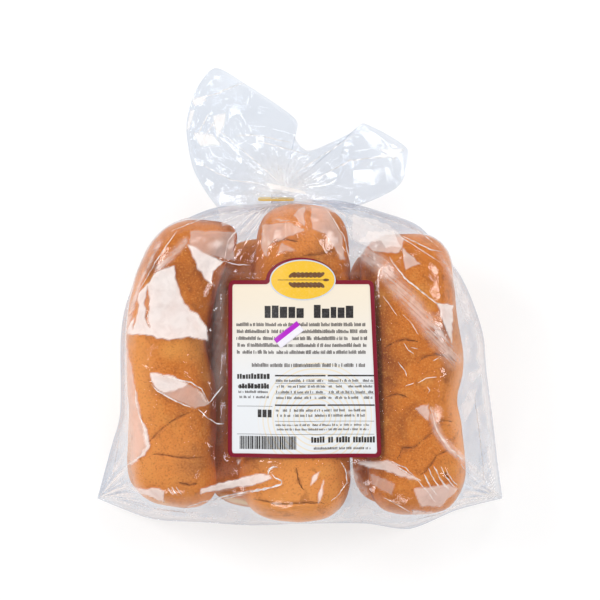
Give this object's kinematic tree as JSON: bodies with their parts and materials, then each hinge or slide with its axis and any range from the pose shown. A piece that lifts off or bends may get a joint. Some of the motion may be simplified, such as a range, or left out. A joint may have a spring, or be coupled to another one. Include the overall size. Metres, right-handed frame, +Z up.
{
  "type": "bag of hoagie rolls",
  "caption": "Clear bag of long bread rolls lying on its back, label up, its gathered neck held by a closure tag and its open mouth fanned out.",
  "frame": {"origin": "middle of the bottom of the bounding box, on the surface that the bag lies on", "axes": "+Y from the sealed end to the gathered neck and mouth, +Z up through the label, +X across the rolls"},
  "size_m": [0.251, 0.283, 0.0949],
  "materials": {
    "bread_under_film": "golden crust seen through clear glossy film",
    "label_paper": "cream printed paper with a maroon edge",
    "sticker_paper": "white gloss paper with a purple end",
    "tag_plastic": "smooth yellow polystyrene"
  },
  "bodies": {
    "root": {"bag": "bread_under_film", "label": "label_paper", "price_sticker": "sticker_paper", "closure_tag": "tag_plastic"}
  },
  "joints": []
}
